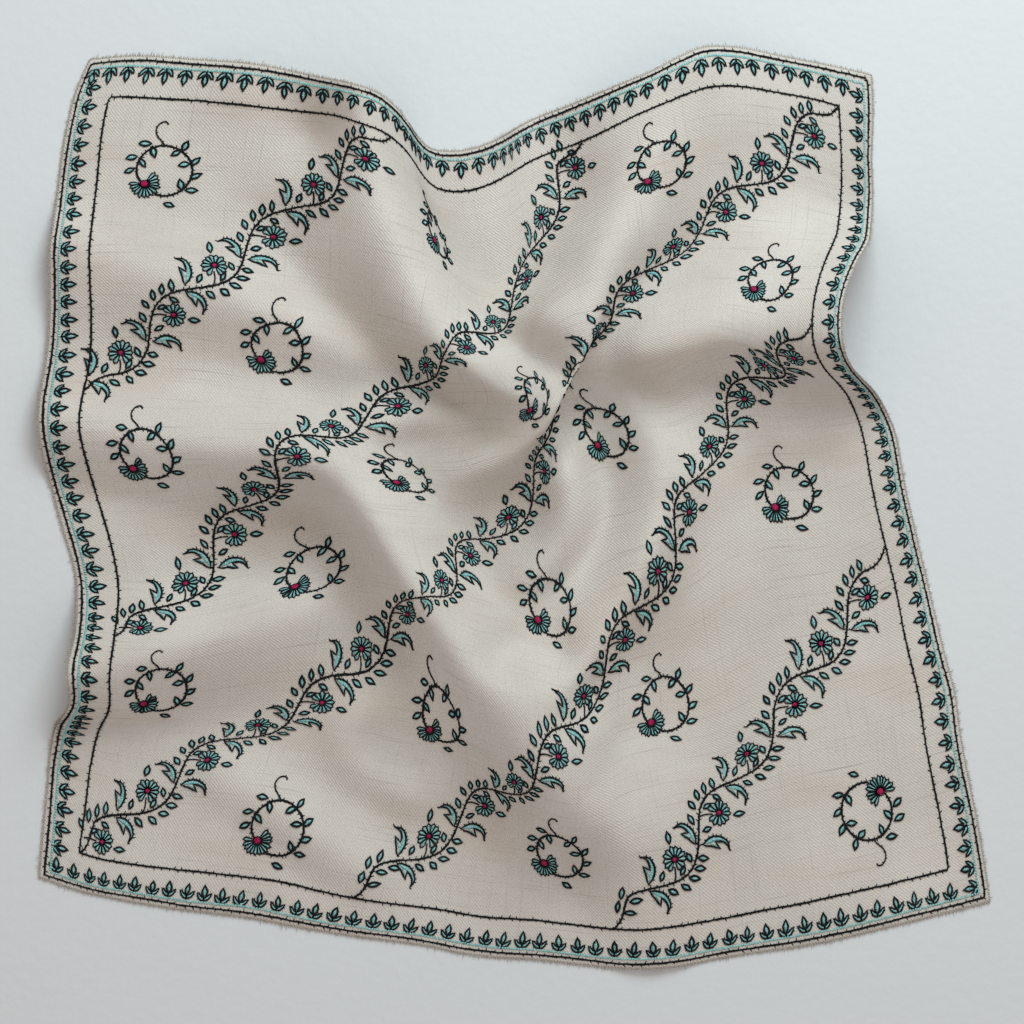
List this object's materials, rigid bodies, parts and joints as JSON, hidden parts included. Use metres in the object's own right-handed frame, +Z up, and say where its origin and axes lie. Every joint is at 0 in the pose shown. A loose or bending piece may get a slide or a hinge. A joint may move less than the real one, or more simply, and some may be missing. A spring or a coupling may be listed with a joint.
{
  "type": "pocket square",
  "caption": "Square of fine wool twill with embroidered vines and border, lying loosely rumpled.",
  "frame": {"origin": "middle of the box that the rumpled cloth fills, at the surface it lies on", "axes": "+Z up from the surface, +Y towards the hem that is furthest in the view from above, +X to the right"},
  "size_m": [0.326, 0.3156, 0.0362],
  "materials": {
    "wool": "undyed fine wool twill with needle embroidery in dark, turquoise and magenta thread"
  },
  "bodies": {
    "root": {"cloth": "wool"}
  },
  "joints": []
}
